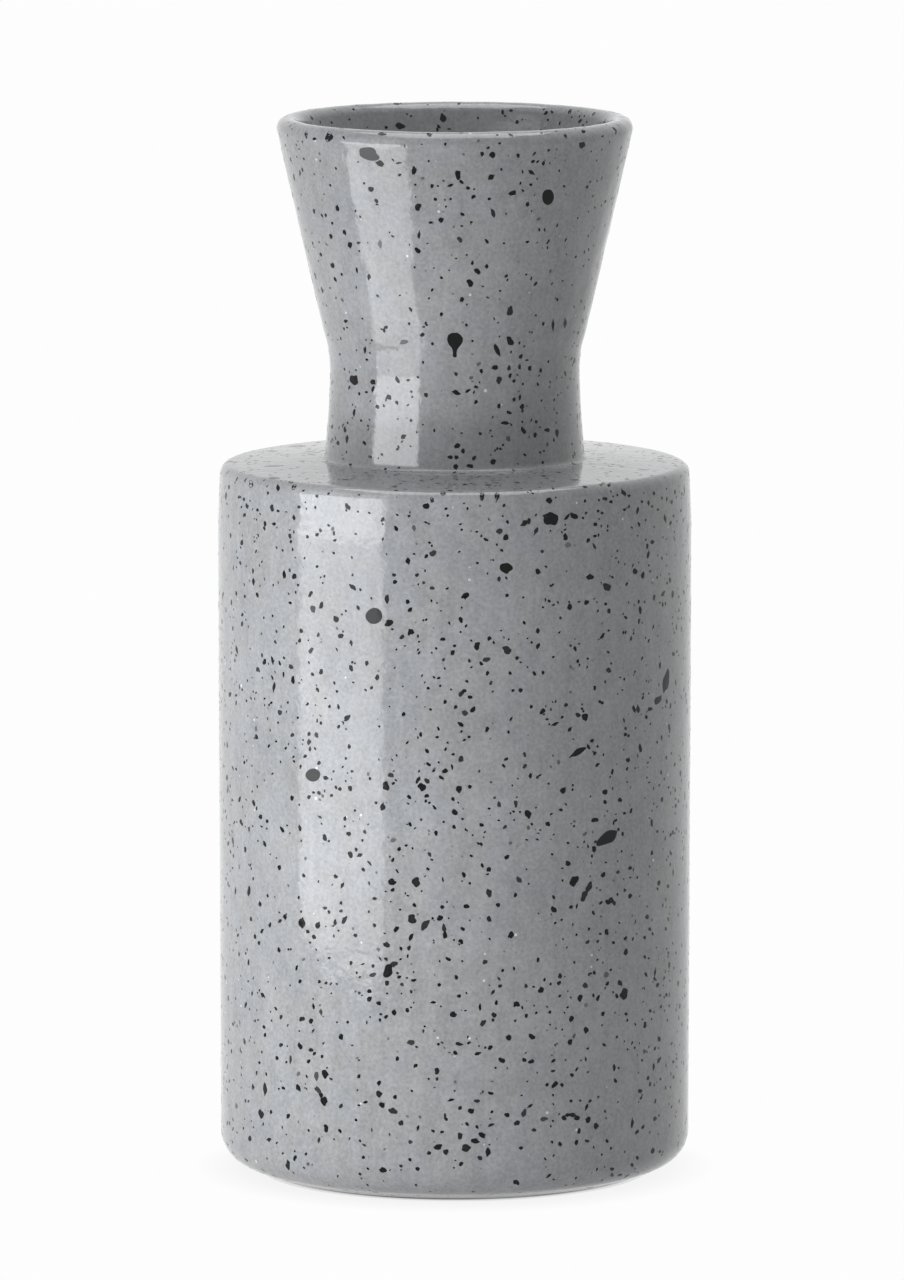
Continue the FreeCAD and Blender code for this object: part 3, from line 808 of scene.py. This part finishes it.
floor_mesh = bpy.data.meshes.new("floor")
floor_mesh.from_pydata([(x * FLOOR_REACH, y * FLOOR_REACH, 0) for x, y in
                        ((-1, -1), (1, -1), (1, 1), (-1, 1))], [], [(0, 1, 2, 3)])
floor = bpy.data.objects.new("floor", floor_mesh)
bpy.context.collection.objects.link(floor)
floor_material = bpy.data.materials.new("pale_floor")
nodes = Nodes(floor_material)
line = nodes.add("ShaderNodeAmbientOcclusion", {"Distance": LINE_REACH},
                 samples=SHADE_SAMPLES).outputs["AO"]
shade = nodes.add("ShaderNodeAmbientOcclusion", {"Distance": SHADE_REACH},
                  samples=SHADE_SAMPLES).outputs["AO"]
contact = nodes.math("POWER", line, LINE_POWER)
contact = nodes.math("MULTIPLY", contact, nodes.remap(shade, 0.0, 1.0, SHADE_DARKEST, 1.0))


def background_rays(nodes):
    """1 for camera, glossy and transmission rays, which all see the white background."""
    kind = nodes.add("ShaderNodeLightPath").outputs
    share = nodes.math("MAXIMUM", kind["Is Camera Ray"], kind["Is Transmission Ray"])
    return nodes.math("MAXIMUM", share, kind["Is Glossy Ray"])


glow = nodes.add("ShaderNodeEmission", {
    "Color": rgb(1, 1, 1), "Strength": nodes.math("MULTIPLY", contact, WHITE)})
cloth = nodes.add("ShaderNodeBsdfDiffuse", {"Color": rgb(FLOOR_CLOTH, FLOOR_CLOTH, FLOOR_CLOTH)})
both = nodes.add("ShaderNodeMixShader", {
    0: background_rays(nodes), 1: cloth.outputs[0], 2: glow.outputs[0]})
nodes.add("ShaderNodeOutputMaterial", {"Surface": both.outputs[0]})
floor_mesh.materials.append(floor_material)

world = bpy.data.worlds.new("studio")
bpy.context.scene.world = world
nodes = Nodes(world)
direction = nodes.add("ShaderNodeTexCoord").outputs["Generated"]
height = nodes.add("ShaderNodeSeparateXYZ", {0: direction}).outputs[2]
height = nodes.math("MAXIMUM", height, 0.0)
fill = nodes.math("MULTIPLY_ADD", nodes.math("MULTIPLY", height, height), OVERHEAD_FILL, FILL)
strength = nodes.math("MULTIPLY_ADD", background_rays(nodes),
                      nodes.math("SUBTRACT", WHITE, fill), fill)
background = nodes.add("ShaderNodeBackground", {"Color": rgb(1, 1, 1), "Strength": strength})
nodes.add("ShaderNodeOutputWorld", {"Surface": background.outputs[0]})


def area_lamp(name, place, width, height, radiance, facing=None):
    """A flat rectangular lamp that shines along facing, or straight down without it."""
    light = bpy.data.lights.new(name, "AREA")
    light.shape = "RECTANGLE"
    light.size, light.size_y = width, height
    light.energy = radiance * math.pi * light.size * light.size_y
    made = bpy.data.objects.new(name, light)
    made.location = place
    if facing is not None:
        made.rotation_euler = facing.to_track_quat("-Z", "Y").to_euler()
    bpy.context.collection.objects.link(made)
    return made


box_width = (BOX_RIGHT - BOX_LEFT).length
box_facing = Vector((0, 0, 1)).cross(BOX_RIGHT - BOX_LEFT).normalized()
for name, (foot, height, radiance) in BOX_PARTS.items():
    place = (BOX_LEFT + BOX_RIGHT) / 2 + Vector((0, 0, foot + height / 2))
    box_part = area_lamp(name, place, box_width, height, radiance, box_facing)
    box_part.data.color = BOX_COLOUR

area_lamp("overhead", OVERHEAD_PLACE, OVERHEAD_SIDE, OVERHEAD_SIDE, OVERHEAD_RADIANCE)
low_strip = area_lamp("low_strip", STRIP_PLACE, STRIP_WIDTH, STRIP_HEIGHT, STRIP_RADIANCE,
                      STRIP_AIM - STRIP_PLACE)
low_strip.visible_glossy = False

bpy.context.scene.view_settings.view_transform = "Standard"
